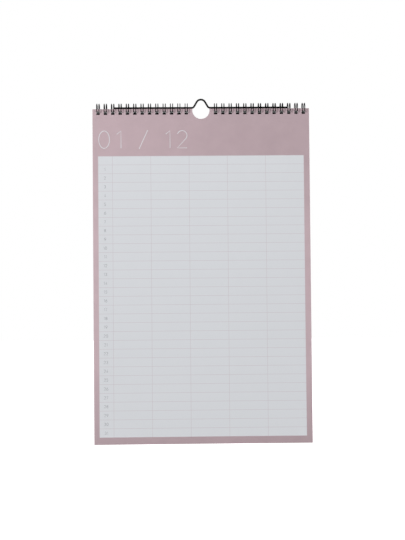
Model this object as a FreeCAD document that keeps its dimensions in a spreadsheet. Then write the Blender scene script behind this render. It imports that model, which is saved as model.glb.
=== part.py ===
# Wall calendar: a block of month sheets and a back board on two lengths of twin-loop wire,
# hung from a nail by a wire hanger that runs along the inside of the loops.
# The front faces -Y and up is +Z. The origin is the hang point: the underside of the hanger's hump,
# where the nail bears. Each piece is drawn about the binding's axis and placed below the hang point.
import FreeCAD, Part

import math
import os

import Sketcher

doc = FreeCAD.newDocument("WallCalendar")

# Driving dimensions in millimetres, angles in degrees

DIMENSIONS = (
    ("page_width", 250.0),
    ("page_height", 385.0),
    ("sheet_count", 12),
    ("sheet_caliper", 0.15),
    ("board_thickness", 0.7),
    ("board_gap", 0.1),
    ("notch_radius", 10.0),
    ("notch_drop", 1.8),
    ("loop_pitch", 8.467),
    ("loops_missing", 3),
    ("binding_margin", 4.0),
    ("leaf_hole_height", 4.1),
    ("hole_clearance", 0.2),
    ("board_hole_clearance", 0.1),
    ("hole_side_clearance", 0.25),
    ("ring_diameter", 10.4),
    ("ring_wire", 0.95),
    ("twin_spacing", 2.55),
    ("spine_angle", 43.0),
    ("spine_bend", 1.2),
    ("seam_gap", 1.2),
    ("hanger_length", 200.0),
    ("hanger_wire", 2.1),
    ("hanger_end_round", 0.4),
    ("hanger_clearance", 0.25),
    ("hump_height", 9.5),
    ("hump_lean", 60.0),
    ("foot_spread", 0.7),
    ("crown_radius", 5.6),
)

sizes = doc.addObject("Spreadsheet::Sheet", "Sizes")
for row, (alias, value) in enumerate(DIMENSIONS, start=1):
    sizes.set(f"A{row}", alias)
    sizes.set(f"B{row}", str(value))
    sizes.setAlias(f"B{row}", alias)
doc.recompute()

# Sizes worked out from the driving ones, as expressions on the sheet

SHEETS_THICKNESS = "(Sizes.sheet_count * Sizes.sheet_caliper)"
STACK_THICKNESS = f"({SHEETS_THICKNESS} + Sizes.board_gap + Sizes.board_thickness)"
# the stack is centred on the binding's axis, its front face towards -Y
STACK_FRONT = f"({STACK_THICKNESS} / 2)"
BOARD_FRONT = f"({STACK_FRONT} - {SHEETS_THICKNESS} - Sizes.board_gap)"
# every distance below is measured down from the binding's axis
PAGE_TOP = "(Sizes.hanger_wire / 2 + Sizes.hanger_clearance)"
PAGE_BOTTOM = f"({PAGE_TOP} + Sizes.page_height)"
NOTCH_CENTRE = f"({PAGE_TOP} + Sizes.notch_drop)"
RING_INSIDE = "(Sizes.ring_diameter / 2 - Sizes.ring_wire)"
HOLE_WIDTH = "(Sizes.twin_spacing + Sizes.ring_wire + 2 * Sizes.hole_side_clearance)"
LEAF_HOLE_TOP = f"(sqrt({RING_INSIDE} ^ 2 - {STACK_FRONT} ^ 2) - Sizes.hole_clearance)"
# the board's holes only just take the wire, so that dark card backs the lower part of the leaves' holes
BOARD_HOLE_TOP = f"(sqrt({RING_INSIDE} ^ 2 - {STACK_FRONT} ^ 2) - Sizes.board_hole_clearance)"
RING_LOWEST = f"sqrt((Sizes.ring_diameter / 2) ^ 2 - {BOARD_FRONT} ^ 2)"
BOARD_HOLE_HEIGHT = f"({RING_LOWEST} + Sizes.board_hole_clearance - {BOARD_HOLE_TOP})"
FIRST_LOOP = "(Sizes.loop_pitch * (Sizes.loops_missing + 1) / 2)"
# as many loops as the half width holds beside the notch
LOOPS_ROOM = f"(Sizes.page_width / 2 - Sizes.binding_margin - {HOLE_WIDTH} / 2 - {FIRST_LOOP})"
LOOPS_EACH = f"(floor({LOOPS_ROOM} / Sizes.loop_pitch) + 1)"
LAST_LOOP = f"({FIRST_LOOP} + Sizes.loop_pitch * ({LOOPS_EACH} - 1))"
# the hump's feet start just beyond the mouth of the notch and have hardly risen there, so that the
# sheets can pass it
NOTCH_MOUTH = "sqrt(Sizes.notch_radius ^ 2 - Sizes.notch_drop ^ 2)"
HUMP_FOOT = f"({NOTCH_MOUTH} + Sizes.foot_spread)"
AXIS_DROP = "(Sizes.hump_height - Sizes.hanger_wire / 2)"

# Small helpers for sketches, whose first guess is taken from the same sizes that drive them

# the sketcher counts an edge's start, end and centre from 1, and its own two axes down from -1
START, END, CENTRE = range(1, 4)
X_AXIS, Z_AXIS = range(-1, -3, -1)
ORIGIN = (X_AXIS, START)
NEAR = 1e-6


def worth(expression):
    """What an expression on the sheet comes to."""
    return float(sizes.evalExpression(expression))


def origin_plane(body, role):
    """The body's own origin plane with this role."""
    for feature in body.Origin.OriginFeatures:
        if feature.Role == role:
            return feature
    raise LookupError(role)


def origin_sketch(body, name, role):
    """A sketch on one of the body's own origin planes."""
    sketch = body.newObject("Sketcher::SketchObject", name)
    sketch.AttachmentSupport = (origin_plane(body, role), [""])
    sketch.MapMode = "FlatFace"
    return sketch


def point(x, z):
    """A point of a sketch."""
    return FreeCAD.Vector(x, z, 0)


def line(sketch, start, end):
    """Add a straight edge and return its index."""
    return sketch.addGeometry(Part.LineSegment(point(*start), point(*end)), False)


def arc(sketch, centre, radius, first_deg, last_deg):
    """Add an arc, counterclockwise between two angles, and return its index."""
    circle = Part.Circle(point(*centre), FreeCAD.Vector(0, 0, 1), radius)
    angles = math.radians(first_deg), math.radians(last_deg)
    return sketch.addGeometry(Part.ArcOfCircle(circle, *angles), False)


def bound(sketch, kind, arguments, expression):
    """Add a dimension and tie its value to an expression on the sheet."""
    value = worth(expression)
    if kind == "Angle":
        value = math.radians(value)
    index = sketch.addConstraint(Sketcher.Constraint(kind, *arguments, value))
    sketch.setExpression(f"Constraints[{index}]", expression)


def left_of_axis(sketch, edge, end, expression):
    """Keep a point this far to the left of the sketch's origin."""
    bound(sketch, "DistanceX", (edge, end, *ORIGIN), expression)


def right_of_axis(sketch, edge, end, expression):
    """Keep a point this far to the right of the sketch's origin."""
    bound(sketch, "DistanceX", (*ORIGIN, edge, end), expression)


def below_axis(sketch, edge, end, expression):
    """Keep a point this far below the sketch's origin."""
    bound(sketch, "DistanceY", (edge, end, *ORIGIN), expression)


def joined(sketch, edges):
    """Join the end of each edge to the start of the next one."""
    for first, second in zip(edges, edges[1:]):
        sketch.addConstraint(Sketcher.Constraint("Coincident", first, END, second, START))


def level(sketch, *edges):
    """Keep edges parallel to the page's top."""
    for edge in edges:
        sketch.addConstraint(Sketcher.Constraint("Horizontal", edge))


def upright(sketch, *edges):
    """Keep edges parallel to the page's sides."""
    for edge in edges:
        sketch.addConstraint(Sketcher.Constraint("Vertical", edge))


def placed(piece):
    """Put a piece that is drawn about the binding's axis below the hang point."""
    piece.setExpression("Placement.Base.z", f"-{AXIS_DROP}")


# Leaves and board: one punched, notched outline with a thickness


def page_outline(body, front):
    """The outline of a leaf on the plane of its front face, with the thumb notch."""
    sketch = origin_sketch(body, "Outline", "XZ_Plane")
    sketch.setExpression("AttachmentOffset.Base.z", front)
    half, mouth = sizes.page_width / 2, worth(NOTCH_MOUTH)
    top, low, notch_low = -worth(PAGE_TOP), -worth(PAGE_BOTTOM), -worth(NOTCH_CENTRE)
    lip = math.degrees(math.asin(sizes.notch_drop / sizes.notch_radius))
    right_side = line(sketch, (half, low), (half, top))
    right_top = line(sketch, (half, top), (mouth, top))
    notch = arc(sketch, (0, notch_low), sizes.notch_radius, 180 - lip, 360 + lip)
    left_top = line(sketch, (-mouth, top), (-half, top))
    left_side = line(sketch, (-half, top), (-half, low))
    bottom = line(sketch, (-half, low), (half, low))
    joined(sketch, (left_top, left_side, bottom, right_side, right_top))
    # the arc runs from the left end of the mouth, round its bottom, to the right end
    sketch.addConstraint(Sketcher.Constraint("Coincident", notch, START, left_top, START))
    sketch.addConstraint(Sketcher.Constraint("Coincident", notch, END, right_top, END))
    level(sketch, right_top, left_top, bottom)
    upright(sketch, right_side, left_side)
    right_of_axis(sketch, right_top, START, "Sizes.page_width / 2")
    left_of_axis(sketch, left_top, END, "Sizes.page_width / 2")
    below_axis(sketch, right_top, END, PAGE_TOP)
    below_axis(sketch, left_top, START, PAGE_TOP)
    below_axis(sketch, bottom, START, PAGE_BOTTOM)
    sketch.addConstraint(Sketcher.Constraint("PointOnObject", notch, CENTRE, Z_AXIS))
    below_axis(sketch, notch, CENTRE, NOTCH_CENTRE)
    bound(sketch, "Radius", (notch,), "Sizes.notch_radius")
    return sketch


def punched_hole(sketch, side, left_edge, hole_top, hole_height):
    """One square hole whose left edge stands at the given distance from the middle."""
    height, top = worth(hole_height), -worth(hole_top)
    left = side * worth(left_edge)
    right = left + worth(HOLE_WIDTH)
    edges = (
        line(sketch, (left, top), (left, top - height)),
        line(sketch, (left, top - height), (right, top - height)),
        line(sketch, (right, top - height), (right, top)),
        line(sketch, (right, top), (left, top)),
    )
    joined(sketch, (*edges, edges[0]))
    upright(sketch, edges[0], edges[2])
    level(sketch, edges[1], edges[3])
    place = left_of_axis if side < 0 else right_of_axis
    place(sketch, edges[0], START, left_edge)
    below_axis(sketch, edges[0], START, hole_top)
    bound(sketch, "DistanceX", (edges[1], START, edges[1], END), HOLE_WIDTH)
    bound(sketch, "DistanceY", (edges[2], START, edges[2], END), hole_height)


def punched_leaf(label, front, thickness, *hole):
    """A leaf or a block of leaves: padded outline, one hole each side, and the row they start.

    The hole is given as its top below the axis and its height.
    """
    body = doc.addObject("PartDesign::Body", label)
    outline = page_outline(body, front)
    pad = body.newObject("PartDesign::Pad", "Leaf")
    pad.Profile = outline
    pad.Reversed = True
    pad.setExpression("Length", thickness)
    holes = origin_sketch(body, "Holes", "XZ_Plane")
    holes.setExpression("AttachmentOffset.Base.z", front)
    punched_hole(holes, -1, f"{LAST_LOOP} + {HOLE_WIDTH} / 2", *hole)
    punched_hole(holes, 1, f"{FIRST_LOOP} - {HOLE_WIDTH} / 2", *hole)
    pocket = body.newObject("PartDesign::Pocket", "FirstHoles")
    pocket.Profile = holes
    pocket.Type = "ThroughAll"
    pocket.Reversed = False
    doc.recompute()
    row = body.newObject("PartDesign::LinearPattern", "HoleRow")
    row.Originals = [pocket]
    row.Direction = (holes, ["H_Axis"])
    row.Mode = "Spacing"
    row.setExpression("Offset", "Sizes.loop_pitch")
    row.setExpression("Occurrences", LOOPS_EACH)
    body.Tip = row
    placed(body)
    return body


leaf_hole = LEAF_HOLE_TOP, "Sizes.leaf_hole_height"
sheets = punched_leaf("month_sheets", STACK_FRONT, SHEETS_THICKNESS, *leaf_hole)
board_hole = BOARD_HOLE_TOP, BOARD_HOLE_HEIGHT
board = punched_leaf("back_board", BOARD_FRONT, "Sizes.board_thickness", *board_hole)

# Hanger: straight arms on the binding's axis and a hump in the middle


def hanger_path(body):
    """The middle line of the hanger: arm, foot, side, crown, and the same again mirrored."""
    sketch = origin_sketch(body, "Path", "XZ_Plane")
    reach, foot = sizes.hanger_length / 2, worth(HUMP_FOOT)
    lean, crown_radius = sizes.hump_lean, sizes.crown_radius
    crown_low = sizes.hump_height - crown_radius
    across, along = math.sin(math.radians(lean)), math.cos(math.radians(lean))
    # each side is the common tangent of the crown and a foot
    foot_radius = (foot * across - crown_low * along - crown_radius) / (1 - along)
    side_top = crown_radius * across, crown_low + crown_radius * along
    side_low = foot - foot_radius * across, foot_radius * (1 - along)
    left_arm = line(sketch, (-reach, 0), (-foot, 0))
    left_foot = arc(sketch, (-foot, foot_radius), foot_radius, -90, lean - 90)
    left_side = line(sketch, (-side_low[0], side_low[1]), (-side_top[0], side_top[1]))
    crown = arc(sketch, (0, crown_low), crown_radius, 90 - lean, 90 + lean)
    right_side = line(sketch, side_top, side_low)
    right_foot = arc(sketch, (foot, foot_radius), foot_radius, 270 - lean, 270)
    right_arm = line(sketch, (foot, 0), (reach, 0))
    # an arc runs counterclockwise, so the crown starts at its right end and the right foot at its top
    ends = (
        (left_arm, END, left_foot, START),
        (left_foot, END, left_side, START),
        (left_side, END, crown, END),
        (crown, START, right_side, START),
        (right_side, END, right_foot, START),
        (right_foot, END, right_arm, START),
    )
    for tangent in ends:
        sketch.addConstraint(Sketcher.Constraint("Tangent", *tangent))
    level(sketch, left_arm, right_arm)
    sketch.addConstraint(Sketcher.Constraint("PointOnObject", left_arm, START, X_AXIS))
    sketch.addConstraint(Sketcher.Constraint("PointOnObject", right_arm, END, X_AXIS))
    left_of_axis(sketch, left_arm, START, "Sizes.hanger_length / 2")
    right_of_axis(sketch, right_arm, END, "Sizes.hanger_length / 2")
    left_of_axis(sketch, left_arm, END, HUMP_FOOT)
    right_of_axis(sketch, right_arm, START, HUMP_FOOT)
    sketch.addConstraint(Sketcher.Constraint("PointOnObject", crown, CENTRE, Z_AXIS))
    sketch.addConstraint(Sketcher.Constraint("Equal", left_foot, right_foot))
    bound(sketch, "Radius", (crown,), "Sizes.crown_radius")
    bound(sketch, "DistanceY", (*ORIGIN, crown, CENTRE), "Sizes.hump_height - Sizes.crown_radius")
    bound(sketch, "Angle", (left_side,), "Sizes.hump_lean")
    return sketch


def wire_hanger():
    """One round wire swept along the hanger's path, with its cut ends rounded over."""
    body = doc.addObject("PartDesign::Body", "hanger")
    path = hanger_path(body)
    section = origin_sketch(body, "Section", "YZ_Plane")
    section.setExpression("AttachmentOffset.Base.z", "-Sizes.hanger_length / 2")
    circle = Part.Circle(point(0, 0), FreeCAD.Vector(0, 0, 1), sizes.hanger_wire / 2)
    rim = section.addGeometry(circle, False)
    section.addConstraint(Sketcher.Constraint("Coincident", rim, CENTRE, *ORIGIN))
    bound(section, "Diameter", (rim,), "Sizes.hanger_wire")
    doc.recompute()
    pipe = body.newObject("PartDesign::AdditivePipe", "Wire")
    pipe.Profile = section
    pipe.Spine = path
    doc.recompute()
    reach = sizes.hanger_length / 2
    rims = [
        f"Edge{index}"
        for index, edge in enumerate(pipe.Shape.Edges, start=1)
        if abs(abs(edge.CenterOfMass.x) - reach) < NEAR
    ]
    rounded = body.newObject("PartDesign::Fillet", "RoundedEnds")
    rounded.Base = (pipe, rims)
    rounded.setExpression("Radius", "Sizes.hanger_end_round")
    body.Tip = rounded
    placed(body)
    return body


hanger = wire_hanger()

# Binding: a length of wire bent into a comb of double loops and closed round the holes

ring_radius = (sizes.ring_diameter - sizes.ring_wire) / 2
half_twin = sizes.twin_spacing / 2
loops_each = int(worth(LOOPS_EACH))


def on_ring(x, angle_deg, along=0.0):
    """A point on the ring at an angle from its lowest point towards the back.

    It may stand some way along the tangent there, positive in the sense of a rising angle.
    """
    angle = math.radians(angle_deg)
    y = ring_radius * math.sin(angle) + along * math.cos(angle)
    z = -ring_radius * math.cos(angle) + along * math.sin(angle)
    return FreeCAD.Vector(x, y, z)


def degrees_along(length):
    """The angle that a length takes up on the ring."""
    return math.degrees(length / ring_radius)


# from the spine, low behind the board, the wire runs up the back, over the top, down the front and
# through the holes to the tips, which close a seam's width short of the spine
loop_start = sizes.spine_angle + degrees_along(sizes.spine_bend)
loop_end = sizes.spine_angle + 360 - degrees_along(sizes.seam_gap + half_twin)
loop_middle = (loop_start + loop_end) / 2


def loop_edge(x, first, last):
    """One turn of the wire round the ring, in the plane at x."""
    return Part.Arc(on_ring(x, first), on_ring(x, loop_middle), on_ring(x, last)).toShape()


def tip_edge(x):
    """The half circle that joins a tooth's two turns at its tip."""
    tip = on_ring(x, loop_end, half_twin)
    return Part.Arc(on_ring(x - half_twin, loop_end), tip, on_ring(x + half_twin, loop_end)).toShape()


def spine_edges(x):
    """The bends and the straight run from the tooth at x to the next one."""
    bend = sizes.spine_bend
    short = bend * (1 - math.cos(math.pi / 4))
    before = x + half_twin
    after = x + sizes.loop_pitch - half_twin
    leave = Part.Arc(
        on_ring(before, loop_start),
        on_ring(before + short, loop_start, short - bend),
        on_ring(before + bend, loop_start, -bend),
    )
    run = Part.LineSegment(
        on_ring(before + bend, loop_start, -bend), on_ring(after - bend, loop_start, -bend)
    )
    arrive = Part.Arc(
        on_ring(after - bend, loop_start, -bend),
        on_ring(after - short, loop_start, short - bend),
        on_ring(after, loop_start),
    )
    return [leave.toShape(), run.toShape(), arrive.toShape()]


def comb_path(first_x):
    """The middle line of one length of binding, from its first tooth to its last."""
    edges = []
    for tooth in range(loops_each):
        x = first_x + tooth * sizes.loop_pitch
        edges.append(loop_edge(x - half_twin, loop_start, loop_end))
        edges.append(tip_edge(x))
        edges.append(loop_edge(x + half_twin, loop_end, loop_start))
        if tooth < loops_each - 1:
            edges.extend(spine_edges(x))
    return Part.Wire(edges)


def binding_wire(label, first_x):
    """A round wire swept along the comb."""
    path = doc.addObject("Part::Feature", f"{label}_path")
    path.Shape = comb_path(first_x)
    section = doc.addObject("Part::Circle", f"{label}_section")
    section.setExpression("Radius", "Sizes.ring_wire / 2")
    start = on_ring(first_x - half_twin, loop_start)
    tangent = FreeCAD.Rotation(FreeCAD.Vector(1, 0, 0), loop_start)
    facing = FreeCAD.Rotation(FreeCAD.Vector(0, 0, 1), FreeCAD.Vector(0, 1, 0))
    section.Placement = FreeCAD.Placement(start, tangent.multiply(facing))
    wire = doc.addObject("Part::Sweep", label)
    wire.Sections = [section]
    wire.Spine = (path, [])
    wire.Solid = True
    wire.Frenet = False
    wire.Transition = "Transformed"
    placed(wire)
    return wire


left_wire = binding_wire("binding_wire_left", -worth(LAST_LOOP))
right_wire = binding_wire("binding_wire_right", worth(FIRST_LOOP))

# Test every object, then write each piece

doc.recompute()
for item in doc.Objects:
    if {"Invalid", "Error"} & set(item.State):
        raise RuntimeError(f"{item.Name} failed: {item.State}")

os.makedirs("parts", exist_ok=True)
pieces = (sheets, board, hanger, left_wire, right_wire)
for piece in pieces:
    shape = piece.Shape
    if shape.isNull() or not shape.isValid() or len(shape.Solids) != 1:
        raise RuntimeError(f"{piece.Label} is not one valid solid")
    box = shape.BoundBox
    print(f"{piece.Label}: {shape.Volume:.1f} mm3")
    print(f"    x {box.XMin:.2f} {box.XMax:.2f}, y {box.YMin:.2f} {box.YMax:.2f}")
    print(f"    z {box.ZMin:.2f} {box.ZMax:.2f}")
for piece in pieces:
    piece.Shape.exportStep(f"parts/{piece.Label}.step")
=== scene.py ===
# %% [markdown]
# # A wall calendar, dressed
#
# The calendar hangs from a nail by a black wire rod that runs inside two rows of black twin loops.
# Twelve month leaves and a stiff black board hang from the loops, and a half-round thumb notch is
# punched in the middle of their top edge, so that the hump of the rod has room for the nail.
#
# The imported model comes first, because it is the frame in which every piece is placed.

# %% Load the frame
import math

import bpy
from mathutils import Matrix, Vector


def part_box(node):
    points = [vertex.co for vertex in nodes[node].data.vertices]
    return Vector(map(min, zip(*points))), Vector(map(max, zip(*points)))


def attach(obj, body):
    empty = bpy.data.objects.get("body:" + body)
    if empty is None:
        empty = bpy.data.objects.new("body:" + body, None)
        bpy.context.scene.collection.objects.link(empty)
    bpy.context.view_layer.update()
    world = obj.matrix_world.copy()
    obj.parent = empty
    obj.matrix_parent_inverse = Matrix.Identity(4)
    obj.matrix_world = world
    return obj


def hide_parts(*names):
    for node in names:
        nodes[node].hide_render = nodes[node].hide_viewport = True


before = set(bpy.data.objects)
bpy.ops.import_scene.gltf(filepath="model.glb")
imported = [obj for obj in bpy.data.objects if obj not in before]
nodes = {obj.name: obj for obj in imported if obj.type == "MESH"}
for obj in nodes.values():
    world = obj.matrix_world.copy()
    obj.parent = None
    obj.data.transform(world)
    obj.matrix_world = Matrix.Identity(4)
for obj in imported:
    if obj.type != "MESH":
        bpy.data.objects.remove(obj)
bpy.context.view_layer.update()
sheets_low, sheets_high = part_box("month_sheets")
PAGE_TOP = sheets_high.z

# %% [markdown]
# ## Camera
#
# The photograph was taken with an ordinary lens from about a metre away, a little below the middle of
# the calendar and a little to its left. The place and the three small turns below bring the page's four
# corners to within about half a pixel of where the photograph has them. A wide lens from close by would
# splay the page's sides, and a long one would hide the undersides of the loops.

# %% Place the camera
CAMERA_PLACE = (-0.0173, -0.9977, -0.2187)
CAMERA_TILT, CAMERA_TURN, CAMERA_ROLL = 1.309, -1.010, 0.489
LENS_MM = 57.84

lens_data = bpy.data.cameras.new("photo_camera")
lens_data.lens = LENS_MM
camera = bpy.data.objects.new("photo_camera", lens_data)
bpy.context.scene.collection.objects.link(camera)
aim = (
    Matrix.Rotation(math.radians(CAMERA_TURN), 4, "Z")
    @ Matrix.Rotation(math.radians(CAMERA_TILT), 4, "X")
    @ Matrix.Rotation(math.radians(CAMERA_ROLL), 4, "Y")
)
camera.matrix_world = Matrix.Translation(CAMERA_PLACE) @ aim @ Matrix.Rotation(math.radians(90), 4, "X")
bpy.context.scene.camera = camera
print("camera", round(Vector(CAMERA_PLACE).length, 3), "m from the nail")

# %% [markdown]
# ## Small helpers
#
# Operators act on whatever is selected, so each one here starts from a clean selection. Materials are
# graphs of nodes. The helpers below add a node, fill in its plain values and join its linked ones in
# one call, which keeps the recipes short enough to read.

# %% Helpers for meshes
def select_only(*things):
    """Select just these objects and make the last one active."""
    bpy.ops.object.select_all(action="DESELECT")
    for thing in things:
        thing.select_set(True)
    bpy.context.view_layer.objects.active = things[-1]


def named(name):
    """Name the object that an operator has just made, and its mesh."""
    made = bpy.context.object
    made.name = name
    made.data.name = name
    return made


def built(name, primitive, **sizes):
    """Add a mesh primitive, and move its place, turn and size into its mesh."""
    bpy.ops.object.select_all(action="DESELECT")
    primitive(**sizes)
    made = named(name)
    select_only(made)
    bpy.ops.object.transform_apply(location=True, rotation=True, scale=True)
    return made


def modify(thing, kind, **settings):
    """Add a modifier with these settings and apply it at once."""
    select_only(thing)
    modifier = thing.modifiers.new(kind.lower(), kind)
    for key, value in settings.items():
        setattr(modifier, key, value)
    bpy.ops.object.modifier_apply(modifier=modifier.name)


def punch_out(thing, tool):
    """Subtract a tool from a piece, and throw the tool away."""
    modify(thing, "BOOLEAN", operation="DIFFERENCE", solver="EXACT", object=tool)
    bpy.data.objects.remove(tool)


def own_copy(thing, name):
    """Copy a piece together with its mesh."""
    twin = thing.copy()
    twin.data = thing.data.copy()
    twin.name = name
    twin.data.name = name
    bpy.context.scene.collection.objects.link(twin)
    return twin


def wear(thing, *finishes):
    """Put these materials on a piece in place of those it has."""
    thing.data.materials.clear()
    for finish in finishes:
        thing.data.materials.append(finish)


print("mesh helpers are ready")

# %% Helpers for materials
def srgb(red, green, blue):
    """A colour as a paint chip gives it, 0 to 255, turned into the linear values that a shader takes."""
    linear = []
    for level in (red, green, blue):
        share = level / 255
        linear.append(share / 12.92 if share <= 0.04045 else ((share + 0.055) / 1.055) ** 2.4)
    return (*linear, 1.0)


def feed(tree, socket, value):
    """Link an input to the output of another node, or fill in a plain value."""
    if isinstance(value, bpy.types.NodeSocket):
        tree.links.new(value, socket)
    else:
        socket.default_value = value


def node(tree, kind, settings=None, **inputs):
    """Add a node, set its properties, and feed its inputs by name, or by number as i0, i1 and so on."""
    made = tree.nodes.new(kind)
    for key, value in (settings or {}).items():
        setattr(made, key, value)
    for key, value in inputs.items():
        name = key.replace("_", " ")
        matches = [socket for socket in made.inputs if socket.name == name and socket.enabled]
        feed(tree, matches[0] if matches else made.inputs[int(key[1:])], value)
    return made


def maths(tree, operation, first, second=0.0, third=0.0):
    """One sum on one or more numbers."""
    return node(tree, "ShaderNodeMath", {"operation": operation}, i0=first, i1=second, i2=third).outputs[0]


def ranged(tree, value, from_low, from_high, to_low, to_high):
    """Carry a number from one range over to another, and hold it at the ends."""
    limits = {"From_Min": from_low, "From_Max": from_high, "To_Min": to_low, "To_Max": to_high}
    return node(tree, "ShaderNodeMapRange", Value=value, **limits).outputs[0]


def mixed(tree, share, first, second, blend="MIX"):
    """Mix two colours by a share. A mix node keeps its colours at inputs 6 and 7 and output 2."""
    mix = tree.nodes.new("ShaderNodeMix")
    mix.data_type = "RGBA"
    mix.blend_type = blend
    for number, value in ((0, share), (6, first), (7, second)):
        feed(tree, mix.inputs[number], value)
    return mix.outputs[2]


def object_place(tree):
    """Where a point of the surface lies in its object's own frame."""
    return node(tree, "ShaderNodeTexCoord").outputs["Object"]


def seen_rays(tree):
    """1 for rays from the camera and through mirrors or clear things, 0 for the rays that light."""
    rays = node(tree, "ShaderNodeLightPath").outputs
    second_hand = maths(tree, "MAXIMUM", rays["Is Glossy Ray"], rays["Is Transmission Ray"])
    return maths(tree, "MAXIMUM", rays["Is Camera Ray"], second_hand)


def new_group(name, takes, gives):
    """Start a shader node group with named inputs, given as (name, kind, default), and outputs."""
    tree = bpy.data.node_groups.new(name, "ShaderNodeTree")
    for label, kind, default in takes:
        socket = tree.interface.new_socket(label, in_out="INPUT", socket_type=f"NodeSocket{kind}")
        if default is not None:
            socket.default_value = default
    for label in gives:
        tree.interface.new_socket(label, in_out="OUTPUT", socket_type="NodeSocketFloat")
    return tree, tree.nodes.new("NodeGroupInput").outputs, tree.nodes.new("NodeGroupOutput").inputs


def use_group(tree, group, **inputs):
    """Place a node group in a material with its own values, and give its outputs."""
    made = tree.nodes.new("ShaderNodeGroup")
    made.node_tree = group
    for label, value in inputs.items():
        feed(tree, made.inputs[label], value)
    return made.outputs


def new_material(name):
    """A material with one Principled shader, and the tree it sits in."""
    material = bpy.data.materials.new(name)
    material.use_nodes = True
    return material, material.node_tree, material.node_tree.nodes["Principled BSDF"].inputs


def finish_shader(tree, shader, colour, relief, roughness, specular):
    """Fill in a shader: relief is (height, strength, depth) and roughness is (mask, swing, least)."""
    height, strength, depth = relief
    bump = node(tree, "ShaderNodeBump", Strength=strength, Distance=depth, Height=height)
    feed(tree, shader["Base Color"], colour)
    feed(tree, shader["Normal"], bump.outputs["Normal"])
    feed(tree, shader["Roughness"], maths(tree, "MULTIPLY_ADD", *roughness))
    feed(tree, shader["Specular IOR Level"], specular)


print("material helpers are ready")

# %% [markdown]
# ## Shared effects
#
# Paper, board and ink all show the same thing from close by: a felted surface of short fibres. It is
# made once as a node group. Two noises, one stretched, give the fibres their height, and a slow one gives
# the cloudiness that light shows in every uncoated sheet. The coat on wire has an orange-peel skin
# instead, and rubs a little paler where fingers and paper touch it, so it gets a group of its own.

# %% Group: felted fibres
FIBRE_STRETCH = (0.35, 1.0, 1.0)
LONG_FIBRE_SHARE = 0.6
FLECK_FROM, FLECK_FULL = 0.62, 0.72

felt, felt_in, felt_out = new_group(
    "felted_fibres",
    [("Place", "Vector", None), ("Fibre size", "Float", 0.0006), ("Cloud size", "Float", 0.02)],
    ["Height", "Cloud", "Fleck"],
)
place = felt_in["Place"]
fibre_scale = maths(felt, "DIVIDE", 1.0, felt_in["Fibre size"])
cloud_scale = maths(felt, "DIVIDE", 1.0, felt_in["Cloud size"])
stretched = node(felt, "ShaderNodeMapping", Vector=place, Scale=FIBRE_STRETCH).outputs["Vector"]
fine = node(felt, "ShaderNodeTexNoise", Vector=place, Scale=fibre_scale, Detail=3.0, Roughness=0.6)
long = node(felt, "ShaderNodeTexNoise", Vector=stretched, Scale=fibre_scale, Detail=2.0, Distortion=0.8)
cloud = node(felt, "ShaderNodeTexNoise", Vector=place, Scale=cloud_scale, Detail=3.0)
height = maths(felt, "MULTIPLY_ADD", long.outputs[0], LONG_FIBRE_SHARE, fine.outputs[0])
feed(felt, felt_out["Height"], height)
feed(felt, felt_out["Cloud"], cloud.outputs[0])
feed(felt, felt_out["Fleck"], ranged(felt, long.outputs[0], FLECK_FROM, FLECK_FULL, 0.0, 1.0))


def felt_on(tree, fibre_size, cloud_size):
    """Lay felted fibres over a material, and give their Height, Cloud and Fleck."""
    sizes = {"Fibre size": fibre_size, "Cloud size": cloud_size}
    return use_group(tree, felt, Place=object_place(tree), **sizes)


print("group", felt.name, "gives", [socket.name for socket in felt_out if socket.name])

# %% Group: coated wire skin
PATCH_SCALE = 260.0
RUB_FROM, RUB_FULL = 0.6, 0.74

skin, skin_in, skin_out = new_group(
    "coated_wire_skin",
    [("Place", "Vector", None), ("Peel size", "Float", 0.0004), ("Rub", "Float", 0.5)],
    ["Height", "Rubbed", "Uneven"],
)
place = skin_in["Place"]
peel_scale = maths(skin, "DIVIDE", 1.0, skin_in["Peel size"])
peel = node(skin, "ShaderNodeTexNoise", Vector=place, Scale=peel_scale, Detail=2.0)
patch = node(skin, "ShaderNodeTexNoise", Vector=place, Scale=PATCH_SCALE, Detail=4.0, Roughness=0.7)
feed(skin, skin_out["Height"], peel.outputs[0])
feed(skin, skin_out["Rubbed"], ranged(skin, patch.outputs[0], RUB_FROM, RUB_FULL, 0.0, skin_in["Rub"]))
feed(skin, skin_out["Uneven"], patch.outputs[0])
print("group", skin.name, "gives", [socket.name for socket in skin_out if socket.name])

# %% [markdown]
# ## The print
#
# One sheet is printed dusty pink all over, except for a pale field with hair lines in the same pink:
# a narrow column for the days' numbers and five wide ones, one header row and thirty-one more. A picture
# would be the usual way to make it. Here the layout is arithmetic on the page's own X and Z, which
# stays sharp at any distance and can be read as a list of sizes.

# %% Sizes of the print, in metres
FIELD_LEFT, FIELD_RIGHT = -0.1187, 0.1182
FIELD_TOP, FIELD_BOTTOM = PAGE_TOP - 0.0544, PAGE_TOP - 0.3767
FIRST_COLUMN = -0.1023
WIDE_COLUMNS, ROWS = 5, 32
LINE_WIDTH = 0.00025
column_pitch = (FIELD_RIGHT - FIRST_COLUMN) / WIDE_COLUMNS
row_pitch = (FIELD_TOP - FIELD_BOTTOM) / ROWS
print(f"rows {row_pitch * 1000:.2f} mm high, columns {column_pitch * 1000:.2f} mm wide")

# %% Groups: one ruled direction, and one band
INKED_WITHIN, BARE_BEYOND = 0.8, 1.2

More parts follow.
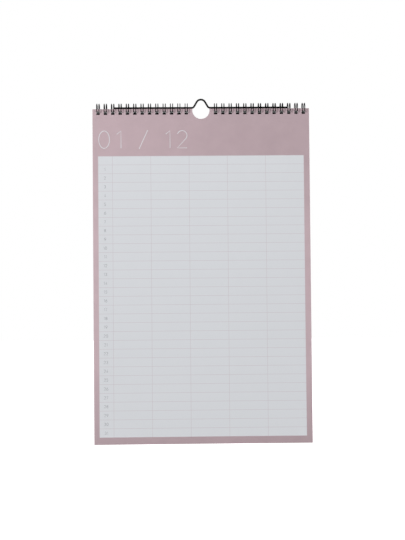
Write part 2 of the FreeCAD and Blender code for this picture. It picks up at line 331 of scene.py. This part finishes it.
ruling, ruling_in, ruling_out = new_group(
    "ruled_lines",
    [("Along", "Float", 0.0), ("First", "Float", 0.0), ("Pitch", "Float", 0.01), ("Width", "Float", 0.0005)],
    ["Line"],
)
from_first = maths(ruling, "SUBTRACT", ruling_in["Along"], ruling_in["First"])
off_line = maths(ruling, "PINGPONG", from_first, maths(ruling, "DIVIDE", ruling_in["Pitch"], 2.0))
half_width = maths(ruling, "DIVIDE", ruling_in["Width"], 2.0)
inked_edge = maths(ruling, "MULTIPLY", half_width, INKED_WITHIN)
bare_edge = maths(ruling, "MULTIPLY", half_width, BARE_BEYOND)
feed(ruling, ruling_out["Line"], ranged(ruling, off_line, inked_edge, bare_edge, 1.0, 0.0))

band, band_in, band_out = new_group(
    "band_between",
    [("Along", "Float", 0.0), ("Low", "Float", 0.0), ("High", "Float", 1.0)],
    ["Inside"],
)
above_low = maths(band, "GREATER_THAN", band_in["Along"], band_in["Low"])
below_high = maths(band, "LESS_THAN", band_in["Along"], band_in["High"])
feed(band, band_out["Inside"], maths(band, "MULTIPLY", above_low, below_high))
print("groups", ruling.name, "and", band.name)

# %% [markdown]
# ## Paper
#
# The leaves are uncoated writing paper: matt, faintly cloudy, a little bluish where it isn't printed.
# The pink is a solid of ink, so it shows the paper's cloudiness more than the bare field does, and painted
# shade darkens it a little towards the right and the bottom. The printed face is one material, and the bare
# paper of edges and backs is another over the same felt.

# %% Material: printed paper
PINK = srgb(193, 171, 177)
FIELD_WHITE = srgb(215, 217, 221)
LINE_PINK = srgb(192, 180, 187)
PRINT_FLECK = srgb(150, 140, 142)
PAPER_FIBRE = 0.0007
PAPER_RELIEF = 0.00005
PAPER_SHINE = 0.25
# where the painted shade on the pink changes: across the header, down the page and towards the foot
HEADER_FULL_FROM, MIDDLE_FROM, FOOT_FROM = 0.06, -0.15, -0.30

printed_paper, tree, shader = new_material("printed_paper")
felted = felt_on(tree, PAPER_FIBRE, 0.018)
spot = node(tree, "ShaderNodeSeparateXYZ", Vector=object_place(tree)).outputs
in_columns = use_group(tree, band, Along=spot["X"], Low=FIELD_LEFT, High=FIELD_RIGHT)["Inside"]
in_rows = use_group(tree, band, Along=spot["Z"], Low=FIELD_BOTTOM, High=FIELD_TOP)["Inside"]
in_field = maths(tree, "MULTIPLY", in_columns, in_rows)
column_lines = use_group(
    tree, ruling, Along=spot["X"], First=FIRST_COLUMN, Pitch=column_pitch, Width=LINE_WIDTH
)["Line"]
wide_part = use_group(
    tree, band, Along=spot["X"], Low=FIRST_COLUMN - LINE_WIDTH, High=FIELD_RIGHT - LINE_WIDTH
)["Inside"]
row_lines = use_group(
    tree, ruling, Along=spot["Z"], First=FIELD_TOP, Pitch=row_pitch, Width=LINE_WIDTH
)["Line"]
any_line = maths(tree, "MAXIMUM", maths(tree, "MULTIPLY", column_lines, wide_part), row_lines)
# painted shade on the pink, falling off away from the upper left: in the header it darkens towards the
# right, and below the header it is palest down the sides, a little darker on the right, and darkest along
# the bottom edge
header_painted_shade = ranged(tree, spot["X"], sheets_low.x, HEADER_FULL_FROM, 1.0, 0.87)
below_header = ranged(tree, spot["Z"], FIELD_TOP, MIDDLE_FROM, 0.0, 1.0)
foot_painted_shade = ranged(tree, spot["Z"], FOOT_FROM, sheets_low.z, 1.05, 0.84)
right_painted_shade = ranged(tree, spot["X"], sheets_low.x, sheets_high.x, 1.0, 0.945)
sides = maths(tree, "MULTIPLY", foot_painted_shade, right_painted_shade)
painted_shade = maths(tree, "MULTIPLY_ADD", below_header, maths(tree, "SUBTRACT", sides, header_painted_shade), header_painted_shade)
ink_shade = ranged(tree, felted["Cloud"], 0.3, 0.7, 0.97, 1.03)
# the pink is multiplied by the painted shade and by the ink's own cloudiness
pink_with_painted_shade = mixed(tree, 1.0, PINK, maths(tree, "MULTIPLY", painted_shade, ink_shade), "MULTIPLY")
field_tone = mixed(tree, any_line, FIELD_WHITE, LINE_PINK)
paper_tone = mixed(tree, in_field, pink_with_painted_shade, field_tone)
speckled = mixed(tree, maths(tree, "MULTIPLY", felted["Fleck"], 0.05), paper_tone, PRINT_FLECK)
relief = (felted["Height"], 0.12, PAPER_RELIEF)
finish_shader(tree, shader, speckled, relief, (felted["Cloud"], 0.12, 0.72), PAPER_SHINE)
print("material", printed_paper.name)

# %% Material: bare paper
BARE_FLECK = srgb(190, 186, 180)

bare_paper, tree, shader = new_material("bare_paper")
felted = felt_on(tree, PAPER_FIBRE, 0.012)
clouded = mixed(tree, felted["Cloud"], srgb(226, 226, 228), srgb(236, 236, 236))
speckled = mixed(tree, maths(tree, "MULTIPLY", felted["Fleck"], 0.08), clouded, BARE_FLECK)
relief = (felted["Height"], 0.15, PAPER_RELIEF)
finish_shader(tree, shader, speckled, relief, (felted["Cloud"], 0.1, 0.76), PAPER_SHINE)
print("material", bare_paper.name)

# %% [markdown]
# ## The twelve month leaves
#
# The solid model has the leaves as one block. Real ones are loose sheets whose edges can be counted, so
# the block is replaced by twelve thin leaves. The first is a box as thin as paper. Its square holes and
# the notch are punched by subtracting a row of boxes and a cylinder, as a punch does, and it is bisected
# into a coarse grid, because a flat face with no edges inside it can't bend.

# %% Punch one leaf
LEAVES = 12
LEAF_PITCH = (sheets_high.y - sheets_low.y) / LEAVES
LEAF_THICKNESS = 0.00013
LOOP_PITCH = 0.008467
LOOPS_EACH = 13
FIRST_LOOP = 2 * LOOP_PITCH
HOLE_WIDTH = 0.00405
HOLE_TOP, HOLE_BOTTOM = PAGE_TOP - 0.002546, PAGE_TOP - 0.006646
NOTCH_RADIUS, NOTCH_CENTRE, NOTCH_SIDES = 0.010, PAGE_TOP - 0.0018, 96
PUNCH_DEPTH = 0.01

page_width = sheets_high.x - sheets_low.x
page_height = sheets_high.z - sheets_low.z
page_middle = (sheets_high.z + sheets_low.z) / 2

leaf = built(
    "leaf_master",
    bpy.ops.mesh.primitive_cube_add,
    size=1,
    location=(0, 0, page_middle),
    scale=(page_width, LEAF_THICKNESS, page_height),
)
hole_punch = built(
    "punch",
    bpy.ops.mesh.primitive_cube_add,
    size=1,
    location=(FIRST_LOOP, 0, (HOLE_TOP + HOLE_BOTTOM) / 2),
    scale=(HOLE_WIDTH, PUNCH_DEPTH, HOLE_TOP - HOLE_BOTTOM),
)
modify(
    hole_punch,
    "ARRAY",
    count=LOOPS_EACH,
    use_relative_offset=False,
    use_constant_offset=True,
    constant_offset_displace=(LOOP_PITCH, 0, 0),
)
modify(hole_punch, "MIRROR", use_axis=(True, False, False))
punch_out(leaf, hole_punch)
thumb_punch = built(
    "thumb_punch",
    bpy.ops.mesh.primitive_cylinder_add,
    vertices=NOTCH_SIDES,
    radius=NOTCH_RADIUS,
    depth=PUNCH_DEPTH,
    location=(0, 0, NOTCH_CENTRE),
    rotation=(math.radians(90), 0, 0),
)
punch_out(leaf, thumb_punch)
print("one leaf:", len(leaf.data.vertices), "corners,", len(leaf.data.polygons), "faces")

# %% Bisect the leaf into a grid
GRID_ROWS, GRID_COLUMNS = 30, 16
GRID_TOP = -0.03

levels = [GRID_TOP + (sheets_low.z - GRID_TOP) * row / GRID_ROWS for row in range(GRID_ROWS)]
sides = [sheets_low.x + page_width * column / GRID_COLUMNS for column in range(1, GRID_COLUMNS)]
cuts = [((0, 0, level), (0, 0, 1)) for level in levels] + [((side, 0, 0), (1, 0, 0)) for side in sides]
select_only(leaf)
bpy.ops.object.mode_set(mode="EDIT")
for cut_place, cut_direction in cuts:
    bpy.ops.mesh.select_all(action="SELECT")
    bpy.ops.mesh.bisect(plane_co=cut_place, plane_no=cut_direction)
bpy.ops.mesh.select_all(action="DESELECT")
bpy.ops.object.mode_set(mode="OBJECT")
print("after bisecting:", len(leaf.data.polygons), "faces")

# %% [markdown]
# ## Stacking and letting the leaves fall
#
# Every leaf is a copy with its own mesh, a paper's thickness behind the last. Loose leaves never line up
# exactly, so each is nudged by less than the play of its holes, and the lower corners of the front ones
# stand a little away from the pile, the right one more, where a thumb lifts them. The lift is written as
# a smooth curve in code, because each leaf needs its own, which hand edits couldn't repeat evenly.

# %% Copy the leaves
LIFT_START = -0.23
RIGHT_LIFT, LEFT_LIFT = 0.0021, 0.0007
LIFT_FADE = 1.5
LEAF_TRIM = 0.9993
NUDGES_MM = (0.00, 0.06, -0.05, 0.08, -0.03, 0.05, -0.08, 0.02, -0.06, 0.07, -0.02, 0.04)
NUDGE_RISE = 0.4
FACES_FRONT = -0.7


def lifted(point, share):
    """How far a point of a leaf stands forward of the flat pile; share is 1 on the front leaf."""
    down = max(0.0, (LIFT_START - point.z) / (LIFT_START - sheets_low.z))
    to_right = (point.x - sheets_low.x) / page_width
    swell = RIGHT_LIFT * to_right**2 + LEFT_LIFT * (1 - to_right) ** 2
    return share * swell * down**2


leaves = []
for index, nudge_mm in enumerate(NUDGES_MM):
    piece = own_copy(leaf, f"leaf_{index + 1:02d}")
    depth = sheets_low.y + LEAF_PITCH * (index + 0.5)
    share = ((LEAVES - 1 - index) / (LEAVES - 1)) ** LIFT_FADE
    for corner in piece.data.vertices:
        forward = lifted(corner.co, share)
        corner.co.x = corner.co.x * LEAF_TRIM + nudge_mm / 1000
        corner.co.y += depth - forward
        corner.co.z += NUDGE_RISE * abs(nudge_mm) / 1000
    wear(piece, bare_paper, printed_paper)
    for face in piece.data.polygons:
        face.material_index = 1 if face.normal.y < FACES_FRONT else 0
    leaves.append(piece)
bpy.data.objects.remove(leaf)
for piece in leaves:
    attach(piece, "sheets")
    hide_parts("month_sheets")
front_mm = 1000 * min(corner.co.y for corner in leaves[0].data.vertices)
print(len(leaves), "leaves, front one at y", round(front_mm, 2), "mm")

# %% [markdown]
# ## Numerals
#
# The month stands in tall hair-thin numerals above the field, and a small plain number stands in each
# row of the first column. Each figure is drawn as a sign painter would: a few straight and round strokes
# in a box one high. The strokes become curves with a round bevel, the curves a mesh, and the mesh is
# pressed almost flat, so that the figures lie on the paper like ink with a trace of body.

# %% Strokes of the figures
def bow(x, z, reach_x, reach_z, first_deg, last_deg, steps=18):
    """Points along part of an oval, from one angle to another, counted from the right and upwards."""
    points = []
    for step in range(steps + 1):
        angle = math.radians(first_deg + (last_deg - first_deg) * step / steps)
        points.append((x + reach_x * math.cos(angle), z + reach_z * math.sin(angle)))
    return points


# each figure has its width and its strokes
FIGURES = {
    "0": (0.62, [bow(0.31, 0.5, 0.31, 0.5, 90, 450, 32)]),
    "1": (0.24, [[(0.0, 0.8), (0.24, 1.0), (0.24, 0.0)]]),
    "2": (0.56, [bow(0.28, 0.72, 0.28, 0.28, 160, -38) + [(0.0, 0.0), (0.56, 0.0)]]),
    "3": (0.54, [bow(0.26, 0.76, 0.24, 0.24, 150, -90), bow(0.26, 0.26, 0.27, 0.26, 90, -150)]),
    "4": (0.60, [[(0.44, 0.0), (0.44, 1.0), (0.0, 0.28), (0.60, 0.28)]]),
    "5": (0.54, [[(0.48, 1.0), (0.1, 1.0), (0.06, 0.54)] + bow(0.25, 0.31, 0.29, 0.31, 125, -145)]),
    "6": (0.58, [bow(0.29, 0.29, 0.29, 0.29, 90, 450, 26), [(0.05, 0.45), (0.42, 1.0)]]),
    "7": (0.54, [[(0.0, 1.0), (0.54, 1.0), (0.16, 0.0)]]),
    "8": (0.54, [bow(0.27, 0.76, 0.23, 0.24, 90, 450, 24), bow(0.27, 0.26, 0.27, 0.26, 90, 450, 24)]),
    "9": (0.58, [bow(0.29, 0.71, 0.29, 0.29, 90, 450, 26), [(0.53, 0.55), (0.16, 0.0)]]),
    "/": (0.50, [[(0.0, -0.04), (0.50, 1.04)]]),
    " ": (0.20, []),
}
FIGURE_SPACE = 0.30
INK_BODY = 0.00002
CLOSED_WITHIN = 0.001
print(len(FIGURES), "figures drawn")

# %% Turn strokes into a flat ribbon mesh
def line_width(words, height):
    """How wide a line of figures comes out."""
    widths = [FIGURES[figure][0] for figure in words]
    return height * (sum(widths) + FIGURE_SPACE * (len(words) - 1))


def ink_line(name, words, left, base, height, stroke, space=FIGURE_SPACE):
    """A line of figures on the front leaf, from its left end and its base line."""
    drawing = bpy.data.curves.new(name, "CURVE")
    drawing.dimensions = "3D"
    drawing.bevel_depth = stroke / 2
    drawing.bevel_resolution = 2
    drawing.use_fill_caps = True
    start = left
    for figure in words:
        width, strokes = FIGURES[figure]
        for points in strokes:
            closed = math.dist(points[0], points[-1]) < CLOSED_WITHIN
            kept = points[:-1] if closed else points
            spline = drawing.splines.new("POLY")
            spline.points.add(len(kept) - 1)
            for target, (x, z) in zip(spline.points, kept):
                target.co = (start + height * x, 0, base + height * z, 1)
            spline.use_cyclic_u = closed
        start += height * (width + space)
    inked = bpy.data.objects.new(name, drawing)
    bpy.context.scene.collection.objects.link(inked)
    select_only(inked)
    bpy.ops.object.convert(target="MESH")
    made = bpy.context.object
    front = sheets_low.y + (LEAF_PITCH - LEAF_THICKNESS) / 2
    for corner in made.data.vertices:
        corner.co.y *= INK_BODY / stroke
        corner.co.y += front - lifted(corner.co, 1.0)
    return made


MONTH_LEFT, MONTH_BASE = FIELD_LEFT + 0.0008, PAGE_TOP - 0.04525
MONTH_HEIGHT, MONTH_STROKE, MONTH_SPACE = 0.0200, 0.0009, 0.42
DAY_HEIGHT, DAY_STROKE = 0.0032, 0.00034
DAY_MIDDLE = (FIELD_LEFT + FIRST_COLUMN) / 2 - 0.0006

month_figures = ink_line(
    "month_figures", "01 / 12", MONTH_LEFT, MONTH_BASE, MONTH_HEIGHT, MONTH_STROKE, MONTH_SPACE
)
day_lines = []
for day in range(1, ROWS):
    words = str(day)
    base = FIELD_TOP - row_pitch * (day + 0.5) - DAY_HEIGHT / 2
    left = DAY_MIDDLE - line_width(words, DAY_HEIGHT) / 2
    day_lines.append(ink_line(f"day_{day}", words, left, base, DAY_HEIGHT, DAY_STROKE))
select_only(*day_lines)
bpy.ops.object.join()
day_figures = named("day_figures")
print("figures:", len(month_figures.data.polygons), "and", len(day_figures.data.polygons), "faces")

# %% Materials: the two inks
def ink_material(name, tone, worn):
    """A matt ink whose tone breaks up a little over the paper's fibres."""
    material, tree, shader = new_material(name)
    felted = felt_on(tree, 0.0005, 0.01)
    broken = mixed(tree, maths(tree, "MULTIPLY", felted["Cloud"], 0.5), tone, worn)
    relief = (felted["Height"], 0.1, 0.00003)
    finish_shader(tree, shader, broken, relief, (felted["Cloud"], 0.1, 0.7), PAPER_SHINE)
    return material


pale_ink = ink_material("pale_ink", srgb(218, 217, 221), srgb(210, 206, 210))
grey_ink = ink_material("grey_ink", srgb(138, 140, 146), srgb(164, 166, 171))
for piece, ink in ((month_figures, pale_ink), (day_figures, grey_ink)):
    wear(piece, ink)
    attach(piece, "sheets")
print("inks", pale_ink.name, grey_ink.name)

# %% [markdown]
# ## Black wire
#
# The loops and the hanger keep the solid model's shapes, which are true round wires. The loops are steel
# in a black nylon coat, satin with a soft highlight along each wire. The hanger is thicker, lacquered,
# and a little glossier. Both get the wire skin, each with its own grain and rub.

# %% Material: coated wires
WIRE_SHINE = 0.03


def wire_material(name, tone, rubbed_tone, gloss, peel_size, rub):
    """A black coat on steel wire; gloss is its least roughness."""
    material, tree, shader = new_material(name)
    coat = use_group(tree, skin, Place=object_place(tree), Rub=rub, **{"Peel size": peel_size})
    rubbed = mixed(tree, coat["Rubbed"], tone, rubbed_tone)
    relief = (coat["Height"], 0.08, 0.00004)
    finish_shader(tree, shader, rubbed, relief, (coat["Uneven"], 0.2, gloss), WIRE_SHINE)
    return material


loop_coat = wire_material("black_nylon_coat", srgb(5, 5, 6), srgb(26, 25, 25), 0.34, 0.0005, 0.3)
hanger_lacquer = wire_material("black_lacquer", srgb(3, 3, 4), srgb(18, 17, 17), 0.30, 0.0008, 0.2)
wear(nodes["binding_wire_left"], loop_coat)
wear(nodes["binding_wire_right"], loop_coat)
wear(nodes["hanger"], hanger_lacquer)
print("wires dressed:", loop_coat.name, hanger_lacquer.name)

# %% [markdown]
# ## Board
#
# Behind the last leaf hangs a stiff board, coloured black through as painted shade: it shows in the lower
# part of every hole and stands in for the shade there. It keeps its solid and gets the felt again, coarser,
# with grey fibres in it.

# %% Material: black board, painted shade for the holes
BOARD_FIBRE = 0.0011
BOARD_SHINE = 0.15
GREY_FIBRE = srgb(64, 61, 60)

# the board's near-black is painted shade, standing in for the shade inside the holes
board_painted_shade, tree, shader = new_material("black_board_painted_shade")
felted = felt_on(tree, BOARD_FIBRE, 0.03)
clouded = mixed(tree, felted["Cloud"], srgb(15, 14, 15), srgb(25, 24, 25))
speckled = mixed(tree, maths(tree, "MULTIPLY", felted["Fleck"], 0.35), clouded, GREY_FIBRE)
relief = (felted["Height"], 0.3, 0.0001)
finish_shader(tree, shader, speckled, relief, (felted["Cloud"], 0.1, 0.8), BOARD_SHINE)
wear(nodes["back_board"], board_painted_shade)
print("board dressed:", board_painted_shade.name)

# %% [markdown]
# ## Floor, background and light
#
# The photograph stands on pure white with no shadow in view. The floor here is a pale plane well below
# the calendar. To the camera it adds a glow of its own that brings it to white where nothing shades it,
# while to every other ray it is plain pale paint, so the calendar's shadow still falls on it. The world
# is white to the camera and to reflections, and a dim fill to everything else.

# %% Floor
FLOOR_LEVEL, FLOOR_SIZE = -0.62, 12
GLOW_NEAR, GLOW_FAR = 0.3, 0.6
GLOW_LEAST = 0.45

floor = built(
    "floor",
    bpy.ops.mesh.primitive_grid_add,
    x_subdivisions=8,
    y_subdivisions=8,
    size=FLOOR_SIZE,
    location=(0, 0, FLOOR_LEVEL),
)
floor_paint, tree, shader = new_material("floor_paint")
from_below = node(
    tree, "ShaderNodeVectorMath", {"operation": "DISTANCE"}, i0=object_place(tree), i1=(0, 0, FLOOR_LEVEL)
)
glow = ranged(tree, from_below.outputs["Value"], GLOW_NEAR, GLOW_FAR, GLOW_LEAST, 1.0)
for label, value in {
    "Base Color": (0.8, 0.8, 0.8, 1),
    "Roughness": 0.9,
    "Specular IOR Level": 0.0,
    "Emission Color": (1, 1, 1, 1),
    "Emission Strength": maths(tree, "MULTIPLY", seen_rays(tree), glow),
}.items():
    feed(tree, shader[label], value)
wear(floor, floor_paint)
print("floor at", FLOOR_LEVEL, "m")

# %% World
FILL_LIGHT = 0.31

world = bpy.data.worlds.new("studio")
bpy.context.scene.world = world
world.use_nodes = True
tree = world.node_tree
background = tree.nodes["Background"].inputs
background["Color"].default_value = (1, 1, 1, 1)
feed(tree, background["Strength"], maths(tree, "MULTIPLY_ADD", seen_rays(tree), 1 - FILL_LIGHT, FILL_LIGHT))
print("fill light", FILL_LIGHT)

# %% Lamps
def soft_lamp(name, place, towards, size, watts):
    """A square soft box that faces a point."""
    data = bpy.data.lights.new(name, "AREA")
    data.shape = "SQUARE"
    data.size = size
    data.energy = watts
    lamp = bpy.data.objects.new(name, data)
    bpy.context.scene.collection.objects.link(lamp)
    facing = (Vector(towards) - Vector(place)).to_track_quat("-Z", "Y")
    lamp.matrix_world = Matrix.Translation(place) @ facing.to_matrix().to_4x4()


PAGE_MIDDLE = (0, 0, -0.2)
soft_lamp("key", (-1.3, -1.65, 1.7), PAGE_MIDDLE, 0.35, 51)
soft_lamp("fill", (1.3, -1.6, 0.1), PAGE_MIDDLE, 1.2, 5.5)
soft_lamp("behind", (0.5, 1.6, 0.9), PAGE_MIDDLE, 1.2, 12)
bpy.context.scene.view_settings.view_transform = "Standard"
print("lamps:", [light.name for light in bpy.data.lights])
